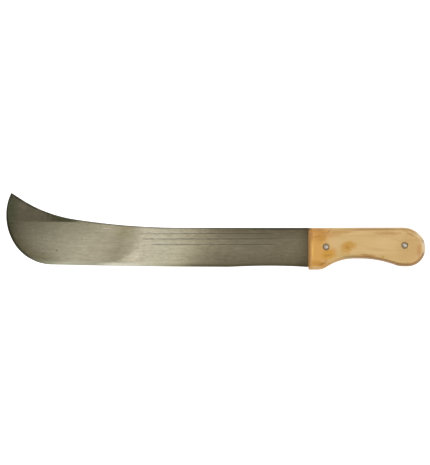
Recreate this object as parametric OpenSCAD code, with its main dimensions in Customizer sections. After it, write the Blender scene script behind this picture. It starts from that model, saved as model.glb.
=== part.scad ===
// Machete with a full tang between two wooden scales. It lies flat: the point is
// towards -X, the butt towards +X, the spine towards +Y and the left side up.
// Outlines are drawn from the place where the spine enters the handle, with X
// towards the butt and Y towards the spine, and are then moved to the origin.

/* [Blade] */
// Length of the blade from the handle to the furthest point of the belly, 14 in
blade_len = 355.6; // [300:0.1:460]
// Thickness of the blade and its tang
blade_t = 2; // [1.5:0.1:4]
// Thickness left along the cutting edge
edge_t = 0.5; // [0.3:0.05:1.2]
// Depth of the blade from the spine to the cutting edge at the heel
heel_depth = 45.9; // [40:0.1:48]
// Height of the point above the straight part of the spine
point_rise = 41.1; // [30:0.1:50]
// Distance from the furthest point of the belly back to the point
point_back = 6; // [3:0.1:12]
// Radius of the point itself
point_r = 0.8; // [0.5:0.1:3]

/* [Spine] */
// Distance from the furthest point back to the spine's long bend
bend_back = 145; // [120:1:170]
// Turn of the spine at its long bend, in degrees
bend_turn = 8.7; // [5:0.1:11]
// Radius of the spine's long bend
bend_r = 850; // [500:10:1000]
// Distance from the furthest point back to the spine's short bend
clip_back = 46.6; // [40:0.1:55]
// Radius of the spine's short bend
clip_r = 165; // [80:1:200]

/* [Belly and edge] */
// Radius of the belly's upper round
belly_r = 61.9; // [50:0.1:75]
// Turn of the belly's upper round past its furthest point, in degrees
belly_turn = 24.5; // [15:0.5:35]
// Depth of the belly below the spine
belly_depth = 42.2; // [38:0.1:45]
// Distance from the furthest point back to the middle of the cutting edge's bow
bow_back = 144.6; // [130:1:200]
// Depth of the cutting edge's bow below the spine
bow_depth = 45.4; // [43:0.1:48]
// Radius of the cutting edge's bow
bow_r = 8000; // [3000:100:12000]
// Length of the shallow hollow between the cutting edge and the handle
hollow_len = 93.9; // [60:0.1:120]
// Distance from the handle to the middle of the hollow
hollow_mid = 44.5; // [30:0.1:55]
// Height above the heel at which the hollow's two flanks would meet
hollow_rise = 1.9; // [0.5:0.1:4]
// Radius of the hollow
hollow_r = 690; // [300:10:900]
// Radius of the corner where the cutting edge turns into the hollow
hollow_corner_r = 30; // [10:1:100]

/* [Bevel] */
// Width of the bevel along the cutting edge
bevel_w = 5; // [2:0.1:8]
// Width of the bevel along the upper belly
bevel_belly_w = 2; // [1:0.1:4]
// Width of the bevel at the point
bevel_point_w = 0.8; // [0.3:0.1:2]
// Distance from the handle at which the bevel stops
bevel_stop = 4; // [3:0.1:20]
// Length over which the bevel runs out there
bevel_runout = 2.5; // [1:0.1:2.8]

/* [Grooves] */
// Distance from the spine to the first groove
groove_top = 6.5; // [4:0.1:10]
// Distance from one groove to the next
groove_pitch = 6.45; // [4:0.05:9]
// Distances from the handle to the far ends of the grooves
groove_far = [201, 196, 187]; // [120:1:260]
// Distances from the handle to the near ends of the grooves
groove_near = [34, 27, 30]; // [10:1:80]
// Radius of a groove's section
groove_r = 1.1; // [0.8:0.05:2]
// Depth of a groove
groove_depth = 0.35; // [0.1:0.05:0.6]
// Length over which a groove runs out at each end
groove_runout = 8; // [3:0.5:15]

/* [Handle] */
// Length of the handle from the blade to the end of the butt
handle_len = 136.1; // [120:0.1:160]
// How far the top of the handle's front face leans towards the butt
lean_top = 1.3; // [0:0.1:3]
// How far the bottom of the handle's front face leans towards the blade
lean_low = 1; // [0:0.1:1.3]
// Radius of the corners of the front face
front_r = 1; // [0.5:0.1:3]
// Depth of the handle at its front, below the spine
guard_depth = 49.2; // [48.5:0.1:56]
// Distance from the blade to the end of the front's flat underside
guard_len = 14.8; // [10:0.1:18]
// Radius of the corner at the end of the front's flat underside
guard_r = 18.8; // [8:0.1:24]
// Depth of the handle at its waist, below the spine
waist_depth = 36.1; // [33:0.1:39]
// Distance from the blade to the front corner of the waist
waist_front = 37.1; // [33:0.1:42]
// Radius of the waist at its front
waist_front_r = 59.5; // [40:0.5:70]
// Distance from the end of the butt to the rear corner of the waist
waist_rear = 56.8; // [50:0.1:62]
// Radius of the waist at its rear
waist_rear_r = 121.5; // [60:0.5:140]
// Depth of the handle at its butt, below the spine
butt_depth = 45.3; // [42:0.1:50]
// Distance from the end of the butt to the front corner of its swell
swell_len = 30.6; // [27:0.1:36]
// Radius of that corner
swell_r = 24.9; // [10:0.1:30]
// Radius of the butt's lower round
butt_low_r = 21.5; // [12:0.1:26]
// Depth below the spine at which the butt's end starts to slope forwards
butt_end_depth = 14; // [9:0.1:18]
// Radius of the butt's round there
butt_end_r = 22.5; // [12:0.1:30]
// Distance from the end of the butt to the top corner of its slope
butt_slope_len = 15.4; // [10:0.1:22]
// Height of the top corner of the butt above the spine
butt_rise = 0.4; // [0:0.1:3]
// Radius of the top corner of the butt
butt_top_r = 27.4; // [12:0.1:35]

/* [Scales] */
// Thickness of one scale
scale_t = 10; // [8:0.1:14]
// Radius of the round along a scale's outer edges
scale_round = 5; // [2:0.1:6]

/* [Rivets] */
// Distance from the blade to the front rivet
front_rivet_x = 19.4; // [14:0.1:30]
// Depth of the front rivet below the spine
front_rivet_depth = 22.4; // [16:0.1:28]
// Distance from the end of the butt to the rear rivet
rear_rivet_back = 24.7; // [20:0.1:34]
// Depth of the rear rivet below the spine
rear_rivet_depth = 20.6; // [16:0.1:28]
// Radius of a rivet's shank
shank_r = 2; // [1.5:0.1:3]
// Radius of a rivet's hammered head
head_r = 2.5; // [2.3:0.1:3.6]
// Height of a rivet's hammered head
head_h = 1; // [0.5:0.1:1.6]
// Outer radius of a washer
washer_r = 3.8; // [3:0.1:6]
// Thickness of a washer
washer_t = 0.8; // [0.5:0.1:1.5]
// Clearance all round a shank in its holes
shank_gap = 0.1; // [0.05:0.05:0.25]
// Clearance all round a washer in its recess
washer_gap = 0.2; // [0.1:0.05:0.5]
// How far a rivet's head stays below the wood's surface
head_drop = 0.1; // [0.05:0.05:1]

/* [Hidden] */
$fn = 48;
steel_grey = [0.62, 0.59, 0.50];
wood_tan = [0.82, 0.68, 0.46];
washer_brown = [0.50, 0.43, 0.31];
rivet_silver = [0.76, 0.71, 0.64];

// A cut goes this far past the face that it starts from
past = 1;
// Steps of the round along a scale's edges
round_steps = 5;
// Share of a side that its two corner rounds may take together
side_share = 0.98;
// Smallest radius that a corner keeps when its outline shrinks
least_r = 0.3;
// Spacing of points along the straight spine, which keeps the flat faces' triangles short
spine_step = 15;

mid_z = scale_t + blade_t / 2;
head_plane = blade_t / 2 + scale_t - head_drop - head_h;
recess_depth = head_drop + head_h + washer_t;
front_rivet = [front_rivet_x, -front_rivet_depth];
rear_rivet = [handle_len - rear_rivet_back, -rear_rivet_depth];

// An outline is a list of corners [x, y, radius, steps], anticlockwise, and each
// corner is rounded in that many steps, or stays sharp where steps is 0.
function corner(v, i) = let (c = v[(i + len(v)) % len(v)]) [c[0], c[1]];
function radius(v, i) = v[(i + len(v)) % len(v)][2];
function side(v, i) = norm(corner(v, i + 1) - corner(v, i));
function way(v, i) = (corner(v, i + 1) - corner(v, i)) / side(v, i);
function left_of(w) = [-w[1], w[0]];
function turn(v, i) = atan2(cross(way(v, i - 1), way(v, i)), way(v, i - 1) * way(v, i));
function setback(v, i) = radius(v, i) * abs(tan(turn(v, i) / 2));
function turned(p, a) = [p[0] * cos(a) - p[1] * sin(a), p[0] * sin(a) + p[1] * cos(a)];

// How much of a corner's radius the sides next to it leave room for
function room(v, i) = min(
    1,
    side_share * side(v, i - 1) / (setback(v, i - 1) + setback(v, i)),
    side_share * side(v, i) / (setback(v, i) + setback(v, i + 1))
);

function corner_points(v, i) =
    let (
        steps = v[i][3],
        fit = room(v, i),
        start = corner(v, i) - way(v, i - 1) * setback(v, i) * fit,
        spoke = left_of(way(v, i - 1)) * sign(turn(v, i)) * radius(v, i) * fit
    )
    steps == 0
        ? [corner(v, i)]
        : [for (k = [0 : steps]) start + spoke - turned(spoke, turn(v, i) * k / steps)];

function outline_points(v) = [for (i = [0 : len(v) - 1]) each corner_points(v, i)];

// The same outline with each corner moved inwards, by one distance or by its own
function shrunk(v, by) = [
    for (i = [0 : len(v) - 1])
        let (
            d = is_num(by) ? by : by[i],
            middle = way(v, i - 1) + way(v, i),
            to = corner(v, i) + left_of(middle) / norm(middle) * d / cos(turn(v, i) / 2),
            r = max(radius(v, i) - sign(turn(v, i)) * d, least_r)
        )
        [to[0], to[1], r, v[i][3]]
];

// Handle: the front corner of the waist and all that follows it, up to the butt's top
handle_rear = [
    [waist_front, -waist_depth, waist_front_r, 7],
    [handle_len - waist_rear, -waist_depth, waist_rear_r, 8],
    [handle_len - swell_len, -butt_depth, swell_r, 4],
    [handle_len, -butt_depth, butt_low_r, 9],
    [handle_len, -butt_end_depth, butt_end_r, 5],
    [handle_len - butt_slope_len, butt_rise, butt_top_r, 6]
];
scale_outline = concat(
    [
        [lean_top, 0, front_r, 3],
        [-lean_low, -guard_depth, front_r, 3],
        [guard_len, -guard_depth, guard_r, 5]
    ],
    handle_rear
);

// Belly: two rounds below the point, the upper one through the point and upright
// at the furthest place, the lower one level at the belly's depth
belly_mid = [belly_r - blade_len, point_rise - sqrt(pow(belly_r, 2) - pow(belly_r - point_back, 2))];
point_angle = acos((belly_r - point_back) / belly_r);
belly_join = belly_mid - belly_r * [cos(belly_turn), sin(belly_turn)];
belly_low_r = (belly_depth + belly_join[1]) / (1 - sin(belly_turn));
belly_low_x = belly_join[0] + (belly_depth + belly_join[1]) * tan(belly_turn);

// Tang: its lower side goes on from the heel until it meets the handle's underside
tang_share = (guard_depth - heel_depth) / (guard_depth - waist_depth);
tang_corner_x = guard_len + (waist_front - guard_len) * tang_share;

// Distance from the handle to where the straight spine begins to bend
straight_len = blade_len - bend_back - bend_r * tan(bend_turn / 2);

// Each row: the corner of the outline, then how far the bevel reaches in from there
blade_rows = [
    [[lean_top, 0, 0, 0], 0],
    for (x = [spine_step : spine_step : straight_len - spine_step]) [[-x, 0, 0, 0], 0],
    [[bend_back - blade_len, 0, bend_r, 8], 0],
    [[clip_back - blade_len, (bend_back - clip_back) * tan(bend_turn), clip_r, 8], 0],
    [[point_back - blade_len, point_rise, point_r, 3], bevel_point_w],
    [[-blade_len, belly_mid[1] + belly_r * tan(point_angle / 2), belly_r, 6], bevel_belly_w],
    [[-blade_len, belly_mid[1] - belly_r * tan(belly_turn / 2), belly_r, 6], bevel_belly_w],
    [[belly_low_x, -belly_depth, belly_low_r, 12], bevel_w],
    [[bow_back - blade_len, -bow_depth, bow_r, 6], bevel_w],
    [[-hollow_len, -heel_depth, hollow_corner_r, 2], bevel_w],
    [[-hollow_mid, hollow_rise - heel_depth, hollow_r, 6], bevel_w],
    [[-bevel_stop, -heel_depth, 0, 0], bevel_w],
    [[bevel_runout - bevel_stop, -heel_depth, 0, 0], 0],
    [[tang_corner_x, -heel_depth, front_r, 2], 0],
    for (c = handle_rear) [c, 0]
];
blade_outline = [for (row = blade_rows) row[0]];
bevel_widths = [for (row = blade_rows) row[1]];

// The origin is under the middle of the whole machete
blade_points = outline_points(blade_outline);
scale_points = outline_points(scale_outline);
all_x = [for (p = concat(blade_points, scale_points)) p[0]];
all_y = [for (p = concat(blade_points, scale_points)) p[1]];
origin = [(min(all_x) + max(all_x)) / 2, (min(all_y) + max(all_y)) / 2, 0];

// A flat face's triangles, anticlockwise from above, zipped between the lower and
// the upper chain of its points. Both chains run from -X to +X.
function zipped(p, low, up, i = 0, j = 0) =
    i == len(low) - 1 && j == len(up) - 1
        ? []
        : let (
            step_low = j == len(up) - 1
                || (i < len(low) - 1 && p[low[i + 1]][0] <= p[up[j + 1]][0])
        )
        step_low
            ? concat([[low[i], low[i + 1], up[j]]], zipped(p, low, up, i + 1, j))
            : concat([[low[i], up[j + 1], up[j]]], zipped(p, low, up, i, j + 1));

function face_triangles(p) =
    let (
        n = len(p),
        xs = [for (q = p) q[0]],
        first = max([for (i = [0 : n - 1]) if (xs[i] == min(xs)) i]),
        last = min([for (i = [0 : n - 1]) if (xs[i] == max(xs)) i]),
        count_low = (last - first + n) % n
    )
    zipped(
        p,
        [for (k = [0 : count_low]) (first + k) % n],
        [for (k = [1 : n - count_low - 1]) (first - k + n) % n]
    );

// A solid through rings of points, from the lowest up: each is [points, z]
module stacked(rings) {
    n = len(rings[0][0]);
    top = (len(rings) - 1) * n;
    points = [for (ring = rings) each [for (p = ring[0]) [p[0], p[1], ring[1]]]];
    walls = [
        for (k = [0 : len(rings) - 2])
            for (i = [0 : n - 1])
                let (a = k * n + i, b = k * n + (i + 1) % n)
                each [[a, a + n, b], [b, a + n, b + n]]
    ];
    floor_faces = face_triangles(rings[0][0]);
    roof_faces = [for (t = face_triangles(rings[len(rings) - 1][0])) [t[0] + top, t[2] + top, t[1] + top]];
    polyhedron(points = points, faces = concat(floor_faces, walls, roof_faces));
}

// One groove's cutter, lying along X with its axis over a face of the blade
module groove_cutter(far, near, depth) {
    length = far - near;
    axis_up = groove_r - groove_depth;
    end_r = axis_up * 0.9;
    translate([-far, -depth, blade_t / 2 + axis_up])
        rotate([0, 90, 0])
            rotate_extrude()
                polygon([
                    [0, 0], [end_r, 0], [groove_r, groove_runout],
                    [groove_r, length - groove_runout], [end_r, length], [0, length]
                ]);
}

module grooves() {
    for (i = [0 : len(groove_far) - 1])
        groove_cutter(groove_far[i], groove_near[i], groove_top + i * groove_pitch);
}

// A hole along Z at one rivet, from z downwards or upwards by h
module hole(at, r, z, h) {
    translate([at[0], at[1], z])
        cylinder(h = h, r = r);
}

module blade() {
    flat_points = outline_points(shrunk(blade_outline, bevel_widths));
    color(steel_grey)
        translate([0, 0, mid_z] - origin)
            difference() {
                stacked([
                    [flat_points, -blade_t / 2],
                    [blade_points, -edge_t / 2],
                    [blade_points, edge_t / 2],
                    [flat_points, blade_t / 2]
                ]);
                grooves();
                mirror([0, 0, 1])
                    grooves();
                for (at = [front_rivet, rear_rivet])
                    hole(at, shank_r + shank_gap, -blade_t / 2 - past, blade_t + 2 * past);
            }
}

// A scale with its flat side on z = 0, which lies on the tang
module scale_body() {
    difference() {
        stacked([
            [scale_points, 0],
            for (k = [0 : round_steps])
                let (a = 90 * k / round_steps)
                [
                    outline_points(shrunk(scale_outline, scale_round * (1 - cos(a)))),
                    scale_t - scale_round * (1 - sin(a))
                ]
        ]);
        for (at = [front_rivet, rear_rivet]) {
            hole(at, shank_r + shank_gap, -past, scale_t + 2 * past);
            hole(at, washer_r + washer_gap, scale_t - recess_depth, recess_depth + past);
        }
    }
}

module scale_left() {
    color(wood_tan)
        translate([0, 0, mid_z + blade_t / 2] - origin)
            scale_body();
}

module scale_right() {
    color(wood_tan)
        translate([0, 0, mid_z - blade_t / 2] - origin)
            mirror([0, 0, 1])
                scale_body();
}

module rivet_head() {
    ball_r = (pow(head_r, 2) + pow(head_h, 2)) / (2 * head_h);
    translate([0, 0, head_plane])
        intersection() {
            translate([0, 0, head_h - ball_r])
                sphere(r = ball_r);
            cylinder(h = 2 * head_h, r = 2 * head_r);
        }
}

module rivet(at) {
    color(rivet_silver)
        translate([at[0], at[1], mid_z] - origin) {
            cylinder(h = 2 * head_plane, r = shank_r, center = true);
            rivet_head();
            mirror([0, 0, 1])
                rivet_head();
        }
}

module rivet_front() {
    rivet(front_rivet);
}

module rivet_rear() {
    rivet(rear_rivet);
}

// A washer under a rivet's head, with up = 1 on the left side and -1 on the right
module washer(at, up) {
    color(washer_brown)
        translate([at[0], at[1], mid_z + up * (head_plane - washer_t / 2)] - origin)
            difference() {
                cylinder(h = washer_t, r = washer_r, center = true);
                cylinder(h = washer_t + 2 * past, r = shank_r + shank_gap, center = true);
            }
}

module washer_front_left() {
    washer(front_rivet, 1);
}

module washer_front_right() {
    washer(front_rivet, -1);
}

module washer_rear_left() {
    washer(rear_rivet, 1);
}

module washer_rear_right() {
    washer(rear_rivet, -1);
}

blade();
scale_left();
scale_right();
rivet_front();
rivet_rear();
washer_front_left();
washer_front_right();
washer_rear_left();
washer_rear_right();
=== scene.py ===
import math

import bmesh
import bpy
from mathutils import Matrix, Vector


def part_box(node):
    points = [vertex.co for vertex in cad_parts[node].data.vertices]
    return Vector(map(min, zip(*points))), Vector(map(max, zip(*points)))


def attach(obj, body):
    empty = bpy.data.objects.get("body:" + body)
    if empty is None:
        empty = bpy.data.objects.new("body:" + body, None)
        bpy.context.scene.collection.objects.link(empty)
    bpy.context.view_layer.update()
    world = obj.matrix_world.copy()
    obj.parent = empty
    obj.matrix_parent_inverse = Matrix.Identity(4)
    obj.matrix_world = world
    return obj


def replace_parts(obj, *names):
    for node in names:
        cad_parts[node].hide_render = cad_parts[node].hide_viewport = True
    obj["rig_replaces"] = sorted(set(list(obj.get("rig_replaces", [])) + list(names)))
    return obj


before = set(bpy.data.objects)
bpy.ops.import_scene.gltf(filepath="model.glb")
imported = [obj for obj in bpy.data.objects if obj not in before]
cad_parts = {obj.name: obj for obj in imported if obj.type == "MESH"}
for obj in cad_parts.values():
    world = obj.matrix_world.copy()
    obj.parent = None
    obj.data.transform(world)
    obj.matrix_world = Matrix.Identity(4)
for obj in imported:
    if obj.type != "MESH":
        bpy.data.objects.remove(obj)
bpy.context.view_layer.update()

MM = 0.001
UP = Vector((0, 0, 1))

# Sizes of the machete, the same as in the part's own source
BLADE_LENGTH = 355.6
BLADE_START = 1.3
EDGE_THICKNESS = 0.5
HEEL_DEPTH = 45.9
POINT_RISE = 41.1
POINT_BACK = 6.0
POINT_RADIUS = 0.8
BEND_BACK = 145.0
BEND_TURN = math.radians(8.7)
BEND_RADIUS = 850.0
CLIP_BACK = 46.6
CLIP_RADIUS = 165.0
BELLY_RADIUS = 61.9
BELLY_TURN = math.radians(24.5)
BELLY_DEPTH = 42.2
BOW_BACK = 144.6
BOW_DEPTH = 45.4
BOW_RADIUS = 8000.0
HOLLOW_LENGTH = 93.9
HOLLOW_CORNER_RADIUS = 30.0
HOLLOW_MIDDLE = 44.5
HOLLOW_RISE = 1.9
HOLLOW_RADIUS = 690.0
BEVEL_WIDTH = 5.0
BELLY_BEVEL_WIDTH = 2.0
POINT_BEVEL_WIDTH = 0.8
BEVEL_STOP = 4.0
BEVEL_RUNOUT = 2.5
TANG_CORNER_RADIUS = 1.0
HANDLE_LENGTH = 136.1
FRONT_DEPTH = 49.2
FRONT_LENGTH = 14.8
FRONT_LOW_RADIUS = 18.8
WAIST_DEPTH = 36.1
WAIST_FRONT = 37.1
WAIST_FRONT_RADIUS = 59.5
WAIST_REAR = 56.8
WAIST_REAR_RADIUS = 121.5
SWELL_LENGTH = 30.6
SWELL_RADIUS = 24.9
BUTT_DEPTH = 45.3
BUTT_LOW_RADIUS = 21.5
BUTT_END_DEPTH = 14.0
BUTT_END_RADIUS = 22.5
BUTT_SLOPE_LENGTH = 15.4
BUTT_RISE = 0.4
BUTT_TOP_RADIUS = 27.4
SHANK_RADIUS = 2.0
SHANK_GAP = 0.1
WASHER_GAP = 0.2

# The wood's front edge stands nearly upright, where the solid's leans back a little
WOOD_START_TOP = -0.9
WOOD_START_LOW = -1.1
# The wood's round and its front corners, and the spine's softened corner, which stays
# within its wall, 0.75 mm high on each side of the blade's middle
SCALE_ROUND = 5.0
ROUND_STEPS = 8
FRONT_CORNER = 1.0
FRONT_CORNER_STEPS = 4
SPINE_CORNER = 0.7
SPINE_CORNER_STEPS = 3

# Each groove: its depth below the spine, then its far and its near end
GROOVES = ((6.5, -201.0, -34.0), (12.95, -196.0, -27.0), (19.4, -187.0, -30.0))
# A groove's section: distance from its middle line, then how deep it is there
GROOVE_SECTION = ((0.0, 0.35), (0.3, 0.31), (0.58, 0.17), (0.8, 0.0))
# How long a groove takes to reach its depth, and the steps, shares of both length and depth
GROOVE_RUNOUT = 16.0
RUNOUT_SHARES = (0.0, 0.2, 0.45, 0.75, 1.0)
# Between these places the grooves' lines are cut into the blade's face
GROOVE_AREA = (-215.0, -20.0)

# Share of a side that the rounds at its two ends may take together
SIDE_SHARE = 0.98
# Smallest radius that a corner keeps when its outline is moved in
LEAST_RADIUS = 0.3
# How far off a line or plane something may be and still count as on it
NEAR = 0.01
# Slivers narrower than this, in metres, are dissolved
SLIVER = 0.005 * MM
# A face is level from this upward share of its direction, and upright below the other one
LEVEL = 0.999
UPRIGHT = 0.3
# A bevel's face has at least this upward share, and its middle is this far below the flat
BEVEL_LEAST = 0.5
BEVEL_DROP = 0.2
# The spine's corner lies between a wall below the first share and a flat above the other
SPINE_TILTS = (0.1, 0.9)
SMOOTH_BELOW = math.radians(35)
# Steps all round a turned shape, and round a rivet
TURN_STEPS = 48
RIVET_STEPS = 40

# How the hammer left the rivets' heads: drawn out one way, and marked all over
HEAD_STRETCH = (1.03, 1.16)
HEAD_TURN = ((0.8, -0.6, 0), (0.6, 0.8, 0), (0, 0, 1))
HAMMER_MARK_SIZE = 1.5
HAMMER_MARK_CONTRAST = 1.2
HAMMER_MARK_DEPTH = 0.16

# Where the frame has the spine enter the handle, and the heights
scale_low, scale_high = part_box("scale_left")
blade_low, blade_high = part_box("blade")
START_X = scale_high.x / MM - HANDLE_LENGTH
START_Y = scale_low.y / MM + FRONT_DEPTH
BLADE_TOP = blade_high.z / MM
BLADE_MIDDLE = (blade_low.z + blade_high.z) / 2 / MM
SCALE_TOP = scale_high.z / MM

rivet_boxes = [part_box("rivet_front"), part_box("rivet_rear")]
RIVET_ENDS = ("front", "rear")
RIVET_AXES = [Vector(((a.x + b.x) / 2, (a.y + b.y) / 2, 0)) / MM for a, b in rivet_boxes]
washer_low, washer_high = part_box("washer_front_left")
WASHER_RADIUS = (washer_high.x - washer_low.x) / 2 / MM
RECESS_RADIUS = WASHER_RADIUS + WASHER_GAP
HOLE_RADIUS = SHANK_RADIUS + SHANK_GAP

# The camera: its height and how deep it sees, in metres, and its sensor in millimetres
CAMERA_HEIGHT = 4.0
VIEW_DEPTH = 50.0
SENSOR_WIDTH = 36.0
# The part of a plane half way up the machete that fills the picture, in millimetres
PICTURE_PLANE = 12.0
PICTURE_LENGTH = 545.6
PICTURE_CENTRE = (-0.85, -1.3)
# The floor's side in metres, and how bright it shows by itself
FLOOR_SIDE = 14.0
FLOOR_GLOW = 0.6
# Brightness of walls and ceiling, and the upward shares where one turns to the other
WALL_LEVEL = 1.0
CEILING_LEVEL = 0.29
WALL_TOP = 0.2
CEILING_START = 0.55
# Each lamp: its name, place, aim, size and power, in metres and watts
LAMPS = (
    ("right window", (1.2, 0.1, 1.5), (0.15, 0.0, 0.0), (1.4, 1.4), 21.0),
    ("left window", (-1.2, 0.1, 1.5), (-0.15, 0.0, 0.0), (1.0, 1.4), 8.0),
    ("long lamp over the blade", (-0.169, -0.2, 2.0), (-0.169, -0.2, 0.0), (0.246, 1.4), 1.05),
    ("band over the blade", (-0.105, -0.2, 1.9), (-0.105, -0.2, 0.0), (0.1, 1.4), 0.42),
)

# An outline's corners: x, y, the radius that rounds the corner, and the round's steps.
# The rear of the handle, from the front of its waist round to the top of its butt
HANDLE_REAR = (
    (WAIST_FRONT, -WAIST_DEPTH, WAIST_FRONT_RADIUS, 14),
    (HANDLE_LENGTH - WAIST_REAR, -WAIST_DEPTH, WAIST_REAR_RADIUS, 16),
    (HANDLE_LENGTH - SWELL_LENGTH, -BUTT_DEPTH, SWELL_RADIUS, 8),
    (HANDLE_LENGTH, -BUTT_DEPTH, BUTT_LOW_RADIUS, 18),
    (HANDLE_LENGTH, -BUTT_END_DEPTH, BUTT_END_RADIUS, 10),
    (HANDLE_LENGTH - BUTT_SLOPE_LENGTH, BUTT_RISE, BUTT_TOP_RADIUS, 12),
)
SCALE_CORNERS = (
    (WOOD_START_TOP, 0.0, 0.0, 0),
    (WOOD_START_LOW, -FRONT_DEPTH, 0.0, 0),
    (FRONT_LENGTH, -FRONT_DEPTH, FRONT_LOW_RADIUS, 10),
) + HANDLE_REAR


def blade_corners():
    """The corners of the blade and its tang, and how far the bevel reaches in from each."""
    bend_rise = (BEND_BACK - CLIP_BACK) * math.tan(BEND_TURN)
    middle_x = BELLY_RADIUS - BLADE_LENGTH
    middle_y = POINT_RISE - math.sqrt(BELLY_RADIUS**2 - (BELLY_RADIUS - POINT_BACK) ** 2)
    point_angle = math.acos((BELLY_RADIUS - POINT_BACK) / BELLY_RADIUS)
    belly_top_y = middle_y + BELLY_RADIUS * math.tan(point_angle / 2)
    belly_front_y = middle_y - BELLY_RADIUS * math.tan(BELLY_TURN / 2)
    join_x = middle_x - BELLY_RADIUS * math.cos(BELLY_TURN)
    join_y = middle_y - BELLY_RADIUS * math.sin(BELLY_TURN)
    below = BELLY_DEPTH + join_y
    belly_low_x = join_x + below * math.tan(BELLY_TURN)
    belly_low_radius = below / (1 - math.sin(BELLY_TURN))
    tang_share = (FRONT_DEPTH - HEEL_DEPTH) / (FRONT_DEPTH - WAIST_DEPTH)
    tang_x = FRONT_LENGTH + (WAIST_FRONT - FRONT_LENGTH) * tang_share
    rows = [
        ((BLADE_START, 0.0, 0.0, 0), 0.0),
        ((BEND_BACK - BLADE_LENGTH, 0.0, BEND_RADIUS, 16), 0.0),
        ((CLIP_BACK - BLADE_LENGTH, bend_rise, CLIP_RADIUS, 14), 0.0),
        ((POINT_BACK - BLADE_LENGTH, POINT_RISE, POINT_RADIUS, 3), POINT_BEVEL_WIDTH),
        ((-BLADE_LENGTH, belly_top_y, BELLY_RADIUS, 12), BELLY_BEVEL_WIDTH),
        ((-BLADE_LENGTH, belly_front_y, BELLY_RADIUS, 10), BELLY_BEVEL_WIDTH),
        ((belly_low_x, -BELLY_DEPTH, belly_low_radius, 24), BEVEL_WIDTH),
        ((BOW_BACK - BLADE_LENGTH, -BOW_DEPTH, BOW_RADIUS, 6), BEVEL_WIDTH),
        ((-HOLLOW_LENGTH, -HEEL_DEPTH, HOLLOW_CORNER_RADIUS, 3), BEVEL_WIDTH),
        ((-HOLLOW_MIDDLE, HOLLOW_RISE - HEEL_DEPTH, HOLLOW_RADIUS, 12), BEVEL_WIDTH),
        ((-BEVEL_STOP, -HEEL_DEPTH, 0.0, 0), BEVEL_WIDTH),
        ((BEVEL_RUNOUT - BEVEL_STOP, -HEEL_DEPTH, 0.0, 0), 0.0),
        ((tang_x, -HEEL_DEPTH, TANG_CORNER_RADIUS, 3), 0.0),
    ]
    rows += [(corner, 0.0) for corner in HANDLE_REAR]
    return zip(*rows)


def corner_at(corners, i):
    return Vector(corners[i % len(corners)][:2])


def way(corners, i):
    """The direction from one corner to the next."""
    return (corner_at(corners, i + 1) - corner_at(corners, i)).normalized()


def left_of(direction):
    return Vector((-direction.y, direction.x))


def inwards_at(corners, i):
    """The direction into the outline, half way between a corner's two sides."""
    return left_of(way(corners, i - 1) + way(corners, i)).normalized()


def turn(corners, i):
    """The angle by which the outline turns left at a corner."""
    before = way(corners, i - 1)
    after = way(corners, i)
    return math.atan2(before.x * after.y - before.y * after.x, before.dot(after))


def setback(corners, i):
    """How far from its corner a round starts."""
    i = i % len(corners)
    return corners[i][2] * abs(math.tan(turn(corners, i) / 2))


def fitted_radius(corners, i):
    """A corner's radius, made smaller where the sides next to it are too short for it."""
    share = 1.0
    for a, b in ((i - 1, i), (i, i + 1)):
        side = corner_at(corners, b) - corner_at(corners, a)
        taken = setback(corners, a) + setback(corners, b)
        if taken:
            share = min(share, SIDE_SHARE * side.length / taken)
    return corners[i][2] * share


def round_start(corners, i):
    """Where the round of a corner starts."""
    back = fitted_radius(corners, i) * abs(math.tan(turn(corners, i) / 2))
    return corner_at(corners, i) - way(corners, i - 1) * back


def moved_in(corners, reaches):
    """The same outline with each corner moved inwards by its own reach."""
    moved = []
    for i, (x, y, radius, steps) in enumerate(corners):
        bend = turn(corners, i)
        to = Vector((x, y)) + inwards_at(corners, i) * reaches[i] / math.cos(bend / 2)
        smaller = max(radius - math.copysign(reaches[i], bend), LEAST_RADIUS)
        moved.append((to.x, to.y, smaller if radius else 0.0, steps))
    return moved


def start_piece(name, place):
    """Adds a small plane, merged to one corner at a place, and stays in edit mode."""
    bpy.ops.object.select_all(action="DESELECT")
    bpy.ops.mesh.primitive_plane_add(size=MM, location=Vector(place) * MM)
    piece = bpy.context.object
    piece.name = name
    piece.data.name = name
    bpy.ops.object.mode_set(mode="EDIT")
    bpy.ops.mesh.select_mode(type="VERT")
    bpy.ops.mesh.merge(type="CENTER")
    return piece


def pull(step, new=True):
    """Moves what is selected by a step in millimetres, as a new extrusion or as it is."""
    if new:
        bpy.ops.mesh.extrude_region_move(TRANSFORM_OT_translate={"value": Vector(step) * MM})
    else:
        bpy.ops.transform.translate(value=Vector(step) * MM)


def on_outline(point, height):
    """A point of an outline as a place in the frame, in millimetres."""
    return Vector((START_X + point.x, START_Y + point.y, height))


def pull_to(place):
    """Extrudes the one selected corner to a place."""
    piece = bpy.context.object
    mesh = bmesh.from_edit_mesh(piece.data)
    here = next(vertex.co for vertex in mesh.verts if vertex.select)
    pull(place - piece.matrix_world @ here / MM)


def merge_near():
    """Merges all corners that lie on each other."""
    bpy.ops.mesh.select_all(action="SELECT")
    bpy.ops.mesh.remove_doubles(threshold=NEAR * MM)


def draw_outline(corners, height):
    """Draws a closed outline: straight sides are extruded and round corners are spun."""
    for i, (x, y, radius, steps) in enumerate(corners):
        start = round_start(corners, i)
        if i:
            pull_to(on_outline(start, height))
        if radius:
            bend = turn(corners, i)
            reach = math.copysign(fitted_radius(corners, i), bend)
            centre = on_outline(start + left_of(way(corners, i - 1)) * reach, height)
            bpy.ops.mesh.spin(steps=steps, angle=-bend, center=centre * MM, axis=UP)
    pull_to(on_outline(round_start(corners, 0), height))
    merge_near()


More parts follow.
